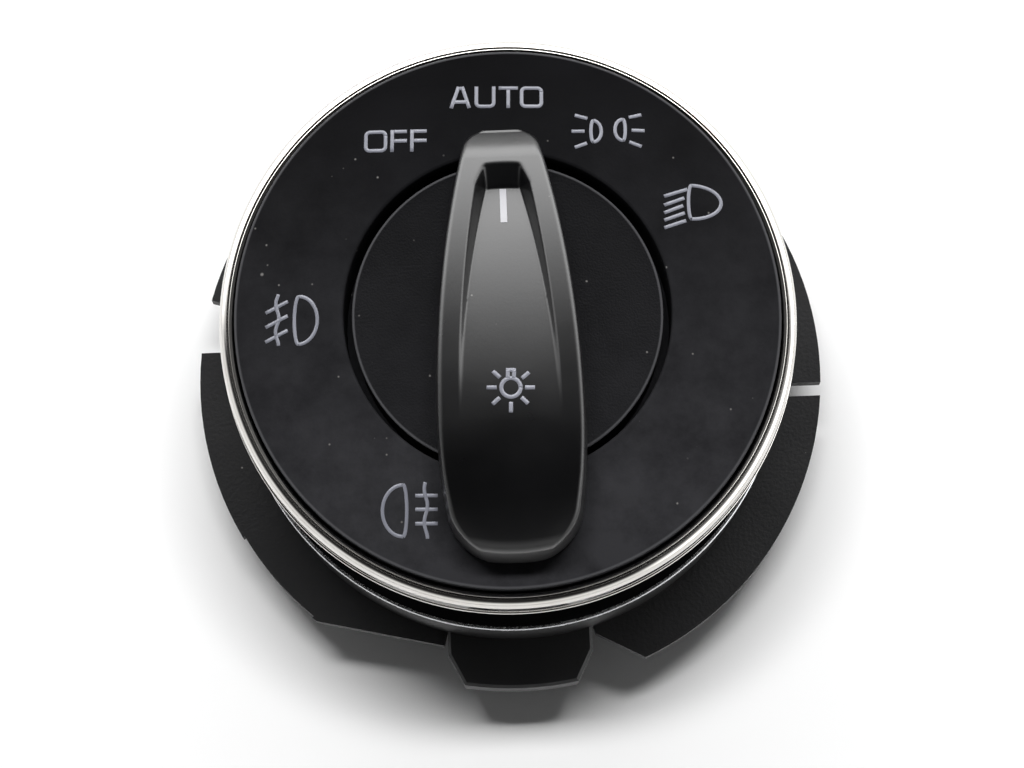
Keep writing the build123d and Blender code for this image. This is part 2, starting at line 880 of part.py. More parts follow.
def grip_outline():
    """The long teardrop, from the narrow pointer end to the broad near end."""
    far = grip_far_reach
    low = end_y(half_width(-grip_near_reach))
    stations = far, (far + grip_widest_y) / 2, grip_widest_y, (low + grip_widest_y) / 2, low
    points = [(half_width(y), y) for y in stations]
    right = ThreePointArc(*points[:3]) + ThreePointArc(*points[2:])
    left = mirror(right, Plane.YZ)
    tip = Line((-half_width(far), far), (half_width(far), far))
    end = ThreePointArc((half_width(low), low), (0, -grip_near_reach), (-half_width(low), low))
    face = make_face(right + left + tip + end)
    corners = face.vertices().sort_by(Axis.Y)
    face = fillet(corners[-2:], grip_tip_corner)
    return fillet(face.vertices().sort_by(Axis.Y)[:2], grip_end_corner)


def grip_top(y):
    """Height of the grip's spine above the face rim, at a place along it."""
    radius = grip_front_arc if y > grip_crest_y else grip_rear_arc
    return grip_crest - radius + sqrt(radius**2 - (y - grip_crest_y) ** 2)


def grip_side():
    """The grip's side view, wide enough to be cut through its whole width."""
    tip_y = grip_far_reach
    bend_y = tip_y - grip_tip_chamfer
    middle = (bend_y + grip_crest_y) / 2
    end = -grip_near_reach - 1
    hip = (end + grip_crest_y) / 2
    points = [(y, grip_top(y)) for y in (bend_y, middle, grip_crest_y, hip, end)]
    front = ThreePointArc(*points[:3])
    rear = ThreePointArc(*points[2:])
    tip_low = tip_y + 1, grip_tip_height - 1
    foot = (end, 0), (tip_y + 1, 0)
    edge = front + rear + Polyline(points[-1], *foot, tip_low, (tip_y, grip_tip_height), points[0])
    side = Plane.YZ.offset(-grip_half_width - 1) * make_face(edge)
    return Pos(0, 0, face_level) * extrude(side, 2 * grip_half_width + 2, dir=(1, 0, 0))


def recess_floor(y):
    """Height of the hollow's floor, which runs out level with the spine at its crest."""
    drop = recess_floor_arc - sqrt(recess_floor_arc**2 - (y - grip_crest_y) ** 2)
    return grip_crest - recess_sink - drop


def recess_outline():
    """The hollow's outline at the level of its floor's low end."""
    near_y = grip_crest_y - recess_corner
    ends = (recess_end_half_width, recess_end_y), (recess_low_half_width, near_y)
    right = ThreePointArc(ends[0], (recess_mid_half_width, 0), ends[1])
    cross = [Line((-x, y), (x, y)) for x, y in ends]
    return right + mirror(right, Plane.YZ) + cross[0] + cross[1]


def recess_end(low, rim, high):
    """The hollow's far wall, part of a cone, so that its rim is a shallow arch."""
    slope = (rim[0] - low[0]) / (rim[1] - low[1])
    center_y = rim[0] - recess_arch_radius
    bottom = recess_arch_radius - slope * (rim[1] - low[1] + 1)
    top = recess_arch_radius + slope * (high - rim[1])
    cone = Cone(bottom, top, high - low[1] + 1, align=(Align.CENTER, Align.CENTER, Align.MIN))
    x_range = -grip_half_width, grip_half_width
    nearer = block(x_range, (-grip_near_reach, center_y), (low[1] - 1, high))
    return Pos(0, center_y, low[1] - 1) * cone + nearer


def thumb_recess():
    """The hollow for the thumb: deep under the pointer end and fading into the spine."""
    floor_y = recess_floor_end_y
    beyond_y = grip_far_reach
    high = grip_crest + 3
    low = floor_y, recess_floor(floor_y)
    middle = (floor_y + grip_crest_y) / 2
    peak = grip_crest_y, recess_floor(grip_crest_y)
    floor = ThreePointArc(low, (middle, recess_floor(middle)), peak)
    edge = floor + Polyline(peak, (grip_crest_y, high), (beyond_y, high), (beyond_y, low[1]), low)
    ramp = extrude(Plane.YZ.offset(-grip_half_width) * make_face(edge), 2 * grip_half_width, dir=(1, 0, 0))
    outline = make_face(recess_outline())
    outline = fillet(outline.vertices(), recess_corner)
    well = tapered(outline, low[1] - 1, high, -recess_draft)
    rim = recess_rim_y, grip_top(recess_rim_y)
    return Pos(0, 0, face_level) * (ramp & well & recess_end(low, rim, high))


def pointer_slot(clearance, low):
    half = pointer_width / 2 + clearance
    y_range = (pointer_near_y - clearance, pointer_far_y + clearance)
    return block((-half, half), y_range, (low, face_level + grip_crest))


def grip_body():
    """The grip before the pointer's slot is cut."""
    low = face_level + grip_underside
    shell = tapered(grip_outline(), low, low + grip_crest, grip_draft)
    shell = shell & grip_side()
    tops = shell.edges().filter_by(lambda e: e.center().Z > low + 1.5)
    shell = fillet(tops, grip_edge_round)
    shell -= thumb_recess()
    pad = Circle(disc_radius - grip_pad_inset) & grip_outline()
    return shell + plate(pad, disc_top, low)


def knob_grip():
    body = grip_body()
    for x in peg_places():
        body += rod(peg_radius, disc_top - peg_length, disc_top, x, peg_y)
    return body - pointer_slot(fit_clearance, disc_top)


def pointer_window():
    """The light blade that shows as the pointer line in the recess."""
    blade = pointer_slot(0, disc_top) & grip_body()
    foot_low = disc_under - pointer_foot
    below = block((-pointer_width, pointer_width), (0, grip_far_reach), (foot_low, disc_top))
    return blade + (pointer_slot(0, foot_low) & below)


# Fog lamp slider

def carriage_far_y():
    return box_inner_width / 2 - carriage_gap_y


def fog_slider():
    """A carriage with a fork that straddles the shaft's neck."""
    top = fork_top
    y_range = carriage_near_y, carriage_far_y()
    body = block((-carriage_half_width, carriage_half_width), y_range, (top - carriage_height, top))
    y_range = -fork_half_width, carriage_near_y
    fork = block((-fork_half_width, fork_half_width), y_range, (top - fork_thickness, top))
    slot = tail_neck_radius + running_gap
    fork -= rod(slot, top - fork_thickness, top)
    fork -= block((-slot, slot), (-fork_half_width, 0), (top - fork_thickness, top))
    return body + fork


def finger_places():
    return [(i - (finger_columns - 1) / 2) * finger_pitch for i in range(finger_columns)]


def finger_bow(y, middle, reach, half_height):
    return ThreePointArc((y, middle - half_height), (y + reach, middle), (y, middle + half_height))


def fog_contacts():
    """Bowed spring fingers on the back of the carriage."""
    y = carriage_far_y()
    reach = carriage_gap_y - fog_track_thickness - fit_clearance
    middle = fork_top - carriage_height / 2
    fingers = []
    for x in finger_places():
        outer = finger_bow(y, middle, reach, finger_height / 2)
        inner = finger_bow(y, middle, reach - finger_thickness, finger_height / 2 - finger_thickness)
        edge = outer + inner + Line(outer @ 0, inner @ 0) + Line(inner @ 1, outer @ 1)
        face = Plane.YZ.offset(x - finger_width / 2) * make_face(edge)
        fingers.append(extrude(face, finger_width, dir=(1, 0, 0)))
    return fingers


def fog_tracks():
    wall = box_inner_width / 2
    z_range = rail_low + fog_track_foot, flange_under
    strips = []
    for x in finger_places():
        x_range = (x - finger_width / 2, x + finger_width / 2)
        strips.append(block(x_range, (wall - fog_track_thickness, wall), z_range))
    return strips


nodes = {
    "main_housing": main_housing(),
    "rear_cover": rear_cover(),
    "cover_screws": cover_screws(),
    "collar_screws": collar_screws(),
    "front_collar": front_collar(),
    "collar_bead": collar_bead(),
    "chrome_ring": chrome_ring(),
    "bezel_face": bezel_face(),
    "light_guide": light_guide(),
    "led_board": led_board(),
    "leds": leds(),
    "board_resistors": board_resistors(),
    "link_pins": link_pins(),
    "contact_board": contact_board(),
    "contact_tracks": contact_tracks(),
    "terminal_pins": terminal_pins(),
    "turn_detent_spring": leaf_spring(),
    "thrust_washer": thrust_washer(),
    "rotor_drum": rotor_drum(),
    "rotor_wiper": rotor_wiper(),
    "pull_detent_spring": pull_spring(),
    "knob_grip": knob_grip(),
    "knob_disc": knob_disc(),
    "pointer_window": pointer_window(),
    "knob_shaft": knob_shaft(),
    "shaft_clip": shaft_clip(),
    "fog_slider": fog_slider(),
    "fog_contacts": fog_contacts(),
    "fog_tracks": fog_tracks(),
}

os.makedirs("parts", exist_ok=True)
for name, shape in nodes.items():
    solid = Compound(children=list(shape)) if isinstance(shape, list) else shape
    export_step(solid, f"parts/{name}.step")
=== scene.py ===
import json
from math import cos, hypot, pi, radians, sin, sqrt

import bmesh
import bpy
from mathutils import Matrix, Vector
from mathutils.bvhtree import BVHTree


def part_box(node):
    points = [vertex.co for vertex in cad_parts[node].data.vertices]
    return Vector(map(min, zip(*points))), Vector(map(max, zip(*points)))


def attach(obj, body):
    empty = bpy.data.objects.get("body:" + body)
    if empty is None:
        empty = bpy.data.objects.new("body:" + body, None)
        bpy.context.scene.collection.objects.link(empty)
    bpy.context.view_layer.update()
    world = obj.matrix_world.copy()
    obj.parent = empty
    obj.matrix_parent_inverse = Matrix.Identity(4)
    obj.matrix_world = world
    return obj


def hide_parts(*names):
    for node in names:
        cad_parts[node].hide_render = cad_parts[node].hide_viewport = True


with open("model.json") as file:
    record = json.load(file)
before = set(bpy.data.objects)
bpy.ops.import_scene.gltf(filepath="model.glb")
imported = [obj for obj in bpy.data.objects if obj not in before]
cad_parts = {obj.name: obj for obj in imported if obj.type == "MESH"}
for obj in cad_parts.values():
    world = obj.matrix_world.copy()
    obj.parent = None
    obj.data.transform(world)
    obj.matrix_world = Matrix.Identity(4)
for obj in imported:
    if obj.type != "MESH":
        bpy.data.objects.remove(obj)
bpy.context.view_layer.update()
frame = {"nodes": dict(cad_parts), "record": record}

# A rotary headlight switch in metres, face up. Shapes are laid out in millimetres from the axis.

MM = 0.001

# Camera
CAMERA_TILT = radians(10)
CAMERA_ROLL = radians(-2.2)
CAMERA_DISTANCE = 0.45
CAMERA_AIM = (0.00022, -0.00856)
FOCAL_PIXELS = 3600
PICTURE_WIDTH = 1024
SENSOR_WIDTH = 36

# Face, in metres, with the dome's rise above the face rim
FACE_RISE = 0.0026

# Print: its height above its carrier and its thickness in metres, and its turn on the face in degrees
SYMBOL_HEIGHT = 0.00003
SYMBOL_DEPTH = 0.00006
SYMBOL_TURN = -2.2

# Strips are cut where they are longer than this, in millimetres, and laid down from this far above the grip
LONG_EDGE = 0.8
EDGE_CUTS = 4
PROBE_HEIGHT = 0.01

# Letters and strokes
CAP_HEIGHT = 2.95
LETTER_STROKE = 0.46
LETTER_CORNER = 0.5
A_WIDTH = 2.75
A_APEX = 0.22
A_BAR_Y = -0.62
A_BAR_HALF = 0.85
U_WIDTH = 2.65
T_WIDTH = 2.44
O_WIDTH = 2.95
F_WIDTH = 2.1
LAMP_STROKE = 0.44
BULB_STROKE = 0.5
BULB_RADIUS = 1.17

# Grip, in millimetres from the axis and above the face rim
GRIP_FAR_Y = 23.1
GRIP_NEAR_Y = -31.5
GRIP_WIDEST_Y = -14.3
GRIP_HALF_WIDTH = 9.3
GRIP_FLANK_RADIUS = 142.4
GRIP_HIP_RADIUS = 80.0
GRIP_END_RADIUS = 22.0
GRIP_BOW_START = -22.0
GRIP_BOW_LENGTH = 9.5
GRIP_TIP_CORNER = 2.4
GRIP_END_CORNER = 4.4
GRIP_FOOT = 3.0
GRIP_CREST = 15.5
GRIP_CREST_Y = -15.5
GRIP_FRONT_ARC = 82.0
GRIP_REAR_ARC = 32.0
GRIP_SIDE_ROUND = 0.7
GRIP_NEAR_WALL = 0.3
GRIP_NEAR_ROUND = 1.5
GRIP_TIP_ROUND = 3.4
GRIP_TIP_EASE = 1.0
GRIP_BEND_REACH = 1.9
GRIP_BEND_DROP = 0.95
GRIP_NOSE_SETBACK = 0.36
GRIP_LIP_SETBACK = 0.1
GRIP_NOSE_HEIGHT = 4.45
GRIP_LIP_HEIGHT = 4.33
GRIP_DRAFT = 0.035
GRIP_COLUMNS = 112
GRIP_ROWS = 300
MERGE_DISTANCE = 0.0000005
PAD_RADIUS = 18.7
PAD_LOW = 1.2
RECESS_DEPTH = 2.6
RECESS_FADE = 1.35
RECESS_FAR_Y = 14.95
RECESS_RIM_Y = 17.85
RECESS_ARCH_RADIUS = 10.0
RECESS_RIM_HALF = 6.25
RECESS_RIM_TAPER = 0.0165
RECESS_RIM_CURVE = 0.00245
RECESS_FOOT_HALF = 6.1
RECESS_FOOT_TAPER = 0.03
RECESS_FOOT_CURVE = 0.00335
RECESS_WALL_BLEND = 0.5
RECESS_FLOOR_BLEND = 0.25
RECESS_RIM_BLEND = 0.35
POINTER_NEAR_Y = 10.05
POINTER_FAR_Y = 14.8
POINTER_WIDTH = 0.82
POINTER_STAND = 0.04
POINTER_DEPTH = 1.2

# Shares of the grip's side outline, from the near end's foot over the spine to the tip's foot
NEAR_WALL_END = 0.05
NEAR_ROUND_END = 0.13
RECESS_END = 0.58
SPINE_END = 0.8
NOSE_END = 0.94
LIP_END = 0.97

# Strips of mesh beside the recess's edges, in millimetres
EDGE_STRIP = 0.15
RAIL_STRIP = 0.45

# Shares of the way from the grip's middle out and down to its foot
FLOOR_EDGE = 0.25
RIM_INSIDE = 0.42
RIM_OUTSIDE = 0.5
RAIL_END = 0.74
ROUND_END = 0.9

# Rings, in millimetres from the axis and above the face rim
RING_INNER = 34.6
RING_FOOT = -8.1
RING_STEPS = 288
BEAD_WALL = 0.5
BEAD_ROUND = 0.25

# Edges sharper than this stay crisp, in degrees
GRIP_CREASE = 40
RING_CREASE = 50

# Numbers of the colour sockets on a Mix node
MIX_FIRST = 6
MIX_SECOND = 7
MIX_RESULT = 2

# Patterns on the black plastic, by how fine they are; dust dots are a share of their cell
DRIFT_SCALE = 60
FILM_SCALE = 140
SMUDGE_SCALE = 45
RIPPLE_SCALE = 900
RIPPLE_STRETCH = (0.08, 1, 0.2)
SPECK_SCALE = 700
SPECK_SIZE = 0.12
LINT_SCALE = 260
LINT_SIZE = 0.07
DUST_COLOUR = (0.16, 0.155, 0.15)
# Colour of the painted highlight along thin outer edges
EDGE_HIGHLIGHT_COLOUR = (0.075, 0.075, 0.08)

# Room: levels by height, from the horizon at 0 to straight above at 1, and where the windows fade in
LAMP_AIM = (0, 0, 0.06)
FLOOR_SIZE = 4.0
FLOOR_COLOUR = (0.95, 0.95, 0.95, 1)
WALLS = ((0, 1.1), (0.35, 0.9), (0.6, 0.2), (0.72, 0.04), (1, 0.005))
WINDOW = ((0, 8.5), (0.48, 8.0), (0.62, 6.0), (0.75, 2.8), (0.85, 0.95), (0.92, 0.2), (1, 0.005))
SIDE_WINDOW = ((0, 4.0), (0.4, 3.4), (0.65, 1.0), (0.82, 0.15), (1, 0.01))
WINDOW_FADE = (0.2, 0.85)
SIDE_WINDOW_FADE = (0.5, 0.95)


# Symbols: each stroke is a path in millimetres

def line(start, end):
    return [start, end]


def ellipse(center, across, up, start, end, steps=24):
    """Part of an ellipse from one angle to another, in degrees."""
    turns = [radians(start + (end - start) * i / steps) for i in range(steps + 1)]
    return [(center[0] + across * cos(turn), center[1] + up * sin(turn)) for turn in turns]


def rounded_box(width, height, corner):
    """The centre line of a squarish letter O."""
    x, y = width / 2 - corner, height / 2 - corner
    path = []
    for sign_x, sign_y, start in ((1, 1, 0), (-1, 1, 90), (-1, -1, 180), (1, -1, 270)):
        path += ellipse((sign_x * x, sign_y * y), corner, corner, start, start + 90, 6)
    return path + [path[0]]


def letter_a():
    foot = (A_WIDTH - LETTER_STROKE) / 2
    top = CAP_HEIGHT / 2
    cap = top - LETTER_STROKE / 2
    return [
        line((-foot, -top), (-A_APEX, top)),
        line((A_APEX, top), (foot, -top)),
        line((-A_APEX, cap), (A_APEX, cap)),
        line((-A_BAR_HALF, A_BAR_Y), (A_BAR_HALF, A_BAR_Y)),
    ]


def letter_u():
    half = (U_WIDTH - LETTER_STROKE) / 2
    top = CAP_HEIGHT / 2
    low = LETTER_STROKE / 2 - top
    corner = LETTER_CORNER
    path = [(-half, top)]
    path += ellipse((corner - half, low + corner), corner, corner, 180, 270, 6)
    path += ellipse((half - corner, low + corner), corner, corner, 270, 360, 6)
    return [path + [(half, top)]]


def letter_t():
    top = CAP_HEIGHT / 2
    half = T_WIDTH / 2
    bar = top - LETTER_STROKE / 2
    return [line((-half, bar), (half, bar)), line((0, top - LETTER_STROKE), (0, -top))]


def letter_o():
    height = CAP_HEIGHT - LETTER_STROKE
    return [rounded_box(O_WIDTH - LETTER_STROKE, height, LETTER_CORNER)]


def letter_f():
    top = CAP_HEIGHT / 2
    half = F_WIDTH / 2
    stem = LETTER_STROKE / 2 - half
    arm_start = stem + LETTER_STROKE / 2
    bar = top - LETTER_STROKE / 2
    return [
        line((stem, top), (stem, -top)),
        line((arm_start, bar), (half, bar)),
        line((arm_start, 0), (half, 0)),
    ]


def placed(paths, x, y, turn=0.0):
    """Paths moved to a place on the face and turned about it, in degrees."""
    c, s = cos(radians(turn)), sin(radians(turn))
    return [[(x + px * c - py * s, y + px * s + py * c) for px, py in path] for path in paths]


def word(letters, x, y):
    """Letters set side by side round a middle point, upright in the picture."""
    paths = []
    for letter, offset in letters:
        paths += placed(letter(), offset, 0)
    return placed(paths, x, y, SYMBOL_TURN)


def lamp(across, up, bow):
    """A lamp seen from the side: a bulge to the right of an almost flat lens."""
    return [ellipse((0, 0), across, up, 90, -90), ellipse((0, 0), bow, up, 90, 270)]


def mirrored(paths):
    return [[(-x, y) for x, y in path] for path in paths]


def parking_lamps():
    rays = [
        line((-2.35, 2.12), (-0.75, 1.7)),
        line((-2.75, -0.05), (-1.1, -0.02)),
        line((-2.35, -2.2), (-0.8, -1.6)),
    ]
    one = lamp(1.0, 1.42, 0.3) + rays
    return placed(one, 11.68, 23.0, SYMBOL_TURN) + placed(mirrored(one), 15.42, 23.12, SYMBOL_TURN)


def dipped_beam():
    rays = []
    for x, y in ((2.95, 1.56), (2.55, 0.4), (2.4, -0.6), (2.6, -1.56), (2.75, -2.55)):
        start = (-3.45, y - 0.9)
        rays.append(line(start, (x - 3.45, y + 0.12)))
    return placed(lamp(3.75, 2.2, 0.38) + rays, 23.62, 13.42, SYMBOL_TURN)


def wave(x, low, high, reach, bends):
    """A wavy upright line."""
    steps = 40
    path = []
    for i in range(steps + 1):
        share = i / steps
        path.append((x + reach * cos(pi * bends * share), low + (high - low) * share))
    return path


def front_fog():
    rays = [line((-4.2, y - 0.72), (-1.38, y + 0.68)) for y in (1.78, -0.05, -1.9)]
    fog = wave(-2.72, -3.15, 3.4, 0.2, 3.7)
    return placed(lamp(2.35, 3.03, 0.55) + [fog] + rays, -26.1, 0.2, SYMBOL_TURN)


def rear_fog():
    bars = [line((1.5, y), (4.3, y)) for y in (1.82, 0.13, -1.6)]
    body = mirrored(lamp(2.58, 3.15, 0.45))
    fog = wave(2.82, -3.45, 3.45, 0.2, 3.4)
    return placed(body + [fog] + bars, -13.85, -24.24, SYMBOL_TURN)


def bulb():
    ring = [ellipse((0, 0), BULB_RADIUS, BULB_RADIUS, 0, 360, 36)]
    cap = [
        line((-0.38, 1.2), (-0.38, 2.2)),
        line((0.36, 1.2), (0.36, 2.2)),
        line((-0.63, 2.18), (0.61, 2.18)),
    ]
    rays = []
    for angle, start, end in ((0, 1.68, 2.9), (41, 1.72, 2.9), (137, 1.8, 3.0), (180, 1.72, 2.95),
                              (223, 1.85, 3.05), (270, 1.8, 3.1), (316, 1.75, 2.9)):
        x, y = cos(radians(angle)), sin(radians(angle))
        rays.append(line((start * x, start * y), (end * x, end * y)))
    return placed(ring + cap + rays, 0.08, -11.66, SYMBOL_TURN)


# Meshes

def face_level():
    """Height of the face rim in metres."""
    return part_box("bezel_face")[1][2] - FACE_RISE


def grown_verts(bm, faces):
    """The new vertices after the faces are extruded in place."""
    grown = bmesh.ops.extrude_face_region(bm, geom=faces)["geom"]
    return [g for g in grown if isinstance(g, bmesh.types.BMVert)]


def linked(name, data):
    """An object of this name in the scene."""
    obj = bpy.data.objects.new(name, data)
    bpy.context.scene.collection.objects.link(obj)
    return obj


def riding(name, mesh, body):
    """A mesh as a piece that moves with its body."""
    piece = linked(name, mesh)
    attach(piece, body)
    return piece


def flat_strokes(name, paths, width):
    """Flat strips along the paths, as one mesh at Z = 0."""
    curve = bpy.data.curves.new(name, "CURVE")
    curve.dimensions = "3D"
    curve.twist_mode = "Z_UP"
    curve.extrude = width * MM / 2
    for path in paths:
        spline = curve.splines.new("POLY")
        spline.points.add(len(path) - 1)
        for point, (x, y) in zip(spline.points, path):
            point.co = (x * MM, y * MM, 0, 1)
            point.tilt = pi / 2
    holder = linked(name, curve)
    graph = bpy.context.evaluated_depsgraph_get()
    mesh = bpy.data.meshes.new_from_object(holder.evaluated_get(graph))
    bpy.data.objects.remove(holder)
    bpy.data.curves.remove(curve)
    return mesh


def surface_of(carrier):
    """The carrier's surface, for finding heights on it."""
    mesh = carrier.data
    corners = [list(polygon.vertices) for polygon in mesh.polygons]
    return BVHTree.FromPolygons([v.co for v in mesh.vertices], corners)


def printed(name, paths, width, carrier, body, material):
    """Strokes laid on the carrier's surface as a thin raised print."""
    surface = surface_of(carrier)
    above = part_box("knob_grip")[1][2] + PROBE_HEIGHT
    mesh = flat_strokes(name, paths, width)
    bm = bmesh.new()
    bm.from_mesh(mesh)
    long_edges = [e for e in bm.edges if e.calc_length() > LONG_EDGE * MM]
    bmesh.ops.subdivide_edges(bm, edges=long_edges, cuts=EDGE_CUTS, use_grid_fill=True)
    bmesh.ops.triangulate(bm, faces=bm.faces)
    for v in bm.verts:
        hit = surface.ray_cast(Vector((v.co.x, v.co.y, above)), Vector((0, 0, -1)))[0]
        v.co.z = hit.z - SYMBOL_DEPTH + SYMBOL_HEIGHT
    bmesh.ops.recalc_face_normals(bm, faces=bm.faces)
    for face in bm.faces:
        if face.normal.z < 0:
            face.normal_flip()
    bmesh.ops.translate(bm, verts=grown_verts(bm, bm.faces[:]), vec=(0, 0, SYMBOL_DEPTH))
    bmesh.ops.recalc_face_normals(bm, faces=bm.faces)
    bm.to_mesh(mesh)
    bm.free()
    mesh.materials.clear()
    mesh.materials.append(material)
    riding(name, mesh, body)


def placed_piece(bm, name, body, material, crease):
    """The finished mesh as a smooth piece that rides on a body, crisp where it bends more than the crease."""
    mesh = bpy.data.meshes.new(name)
    bm.to_mesh(mesh)
    bm.free()
    mesh.shade_smooth()
    mesh.set_sharp_from_angle(angle=radians(crease))
    mesh.materials.append(material)
    return riding(name, mesh, body)


# Grip

def mix(a, b, share):
    return a + (b - a) * share


def place_between(start, end, share):
    return mix(start[0], end[0], share), mix(start[1], end[1], share)


def curve_point(start, bulge, end, share):
    """A point on the curve from start to end that is drawn towards the bulge point."""
    return tuple((1 - share) ** 2 * a + 2 * share * (1 - share) * b + share**2 * c
                 for a, b, c in zip(start, bulge, end))


def lower_of(a, b, blend_height):
    """The lower of two heights, rounded where they cross."""
    if blend_height < 1e-6:
        return min(a, b)
    share = max(0.0, min(1.0, 0.5 + 0.5 * (b - a) / blend_height))
    return mix(b, a, share) - blend_height * share * (1 - share)


def grip_half(y):
    radius = GRIP_FLANK_RADIUS if y > GRIP_WIDEST_Y else GRIP_HIP_RADIUS
    return GRIP_HALF_WIDTH - radius + sqrt(radius**2 - (y - GRIP_WIDEST_Y) ** 2)


def spine(y):
    radius = GRIP_FRONT_ARC if y > GRIP_CREST_Y else GRIP_REAR_ARC
    return GRIP_CREST - radius + sqrt(radius**2 - (y - GRIP_CREST_Y) ** 2)


def recess_rim(y):
    """Half the recess's width at its rim."""
    reach = max(y - GRIP_CREST_Y, 0.0)
    return RECESS_RIM_HALF - RECESS_RIM_TAPER * reach - RECESS_RIM_CURVE * reach**2


def recess_foot(y):
    """Half the width of the recess's floor."""
    reach = max(y - GRIP_CREST_Y, 0.0)
    return RECESS_FOOT_HALF - RECESS_FOOT_TAPER * reach - RECESS_FOOT_CURVE * reach**2


def recess_floor(y):
    """The recess deepens from nothing at the grip's crest to its far wall."""
    reach = max(y - GRIP_CREST_Y, 0.0) / (RECESS_FAR_Y - GRIP_CREST_Y)
    return spine(y) - RECESS_DEPTH * reach**RECESS_FADE


def corner_cut(reach, corner):
    """How far a rounded corner has drawn the side in, at a distance from the end."""
    if reach >= corner:
        return 0.0
    return corner - sqrt(corner**2 - (corner - max(reach, 0.0)) ** 2)


def side_view(v):
    """The grip's side outline from the near end's foot over the spine to the tip's foot."""
    wall_y = GRIP_NEAR_Y + GRIP_NEAR_WALL
    round_end = wall_y + GRIP_NEAR_ROUND
    steepness = (spine(round_end + 0.1) - spine(round_end)) / 0.1
    corner_top = spine(round_end) - steepness * GRIP_NEAR_ROUND
    wall_top = wall_y, corner_top - GRIP_NEAR_ROUND
    recess_end = RECESS_FAR_Y - 0.5
    tip_start = GRIP_FAR_Y - GRIP_TIP_ROUND - GRIP_TIP_EASE
    if v < NEAR_WALL_END:
        return place_between((GRIP_NEAR_Y, GRIP_FOOT), wall_top, v / NEAR_WALL_END)
    if v < NEAR_ROUND_END:
        share = (v - NEAR_WALL_END) / (NEAR_ROUND_END - NEAR_WALL_END)
        return curve_point(wall_top, (wall_y, corner_top), (round_end, spine(round_end)), share)
    if v < RECESS_END:
        y = mix(round_end, recess_end, (v - NEAR_ROUND_END) / (RECESS_END - NEAR_ROUND_END))
        return y, spine(y)
    if v < SPINE_END:
        y = mix(recess_end, tip_start, (v - RECESS_END) / (SPINE_END - RECESS_END))
        return y, spine(y)
    start = tip_start, spine(tip_start)
    bend = tip_start + GRIP_BEND_REACH, spine(tip_start) - GRIP_BEND_DROP
    nose = GRIP_FAR_Y - GRIP_NOSE_SETBACK, GRIP_NOSE_HEIGHT
    lip = GRIP_FAR_Y - GRIP_LIP_SETBACK, GRIP_LIP_HEIGHT
    if v < NOSE_END:
        return curve_point(start, bend, nose, (v - SPINE_END) / (NOSE_END - SPINE_END))
    if v < LIP_END:
        return place_between(nose, lip, (v - NOSE_END) / (LIP_END - NOSE_END))
    return place_between(lip, (GRIP_FAR_Y, GRIP_FOOT), (v - LIP_END) / (1 - LIP_END))


def recess_height(x, y, top):
    """Height of the thumb recess at a place, or of the spine where there is none."""
    if y < GRIP_CREST_Y:
        return top
    floor = recess_floor(min(y, RECESS_FAR_Y))
    depth = spine(min(y, RECESS_FAR_Y)) - floor
    foot = recess_foot(y)
    side = floor + (x - foot) / (recess_rim(y) - foot) * depth
    arch = RECESS_ARCH_RADIUS - sqrt(RECESS_ARCH_RADIUS**2 - x**2)
    low = recess_floor(RECESS_FAR_Y)
    steepness = (spine(RECESS_RIM_Y) - low) / (RECESS_RIM_Y - RECESS_FAR_Y)
    end = low + (y + arch - RECESS_FAR_Y) * steepness
    wall = -lower_of(-side, -end, min(RECESS_WALL_BLEND, depth))
    hollow = -lower_of(-floor, -wall, min(RECESS_FLOOR_BLEND, depth))
    return lower_of(top, hollow, min(RECESS_RIM_BLEND, 0.6 * depth))


def across(s, y, z):
    """Distance from the middle and height of the grip's surface at a share of the way out and down."""
    cut = corner_cut(y - GRIP_NEAR_Y, GRIP_END_CORNER) + corner_cut(GRIP_FAR_Y - y, GRIP_TIP_CORNER)
    foot = grip_half(y) - cut
    height = max(z - GRIP_FOOT, 0.0)
    edge = min(GRIP_SIDE_ROUND, height)
    outer = foot - GRIP_DRAFT * height
    floor_edge = min(recess_foot(min(y, RECESS_FAR_Y)), outer * 0.5)
    rim_edge = min(recess_rim(min(y, RECESS_FAR_Y)), outer * 0.7)
    stops = ((0, 0), (FLOOR_EDGE, floor_edge - EDGE_STRIP), (RIM_INSIDE, rim_edge + EDGE_STRIP),
             (RIM_OUTSIDE, rim_edge + RAIL_STRIP), (RAIL_END, outer - edge))
    if s <= RAIL_END:
        for (s0, x0), (s1, x1) in zip(stops, stops[1:]):
            if s <= s1:
                x = mix(x0, x1, (s - s0) / (s1 - s0))
                return x, min(z, recess_height(x, y, z))
    if s < ROUND_END:
        turn = (s - RAIL_END) / (ROUND_END - RAIL_END) * pi / 2
        return outer - edge + edge * sin(turn), z - edge * (1 - cos(turn))
    return place_between((outer, z - edge), (foot, GRIP_FOOT), (s - ROUND_END) / (1 - ROUND_END))


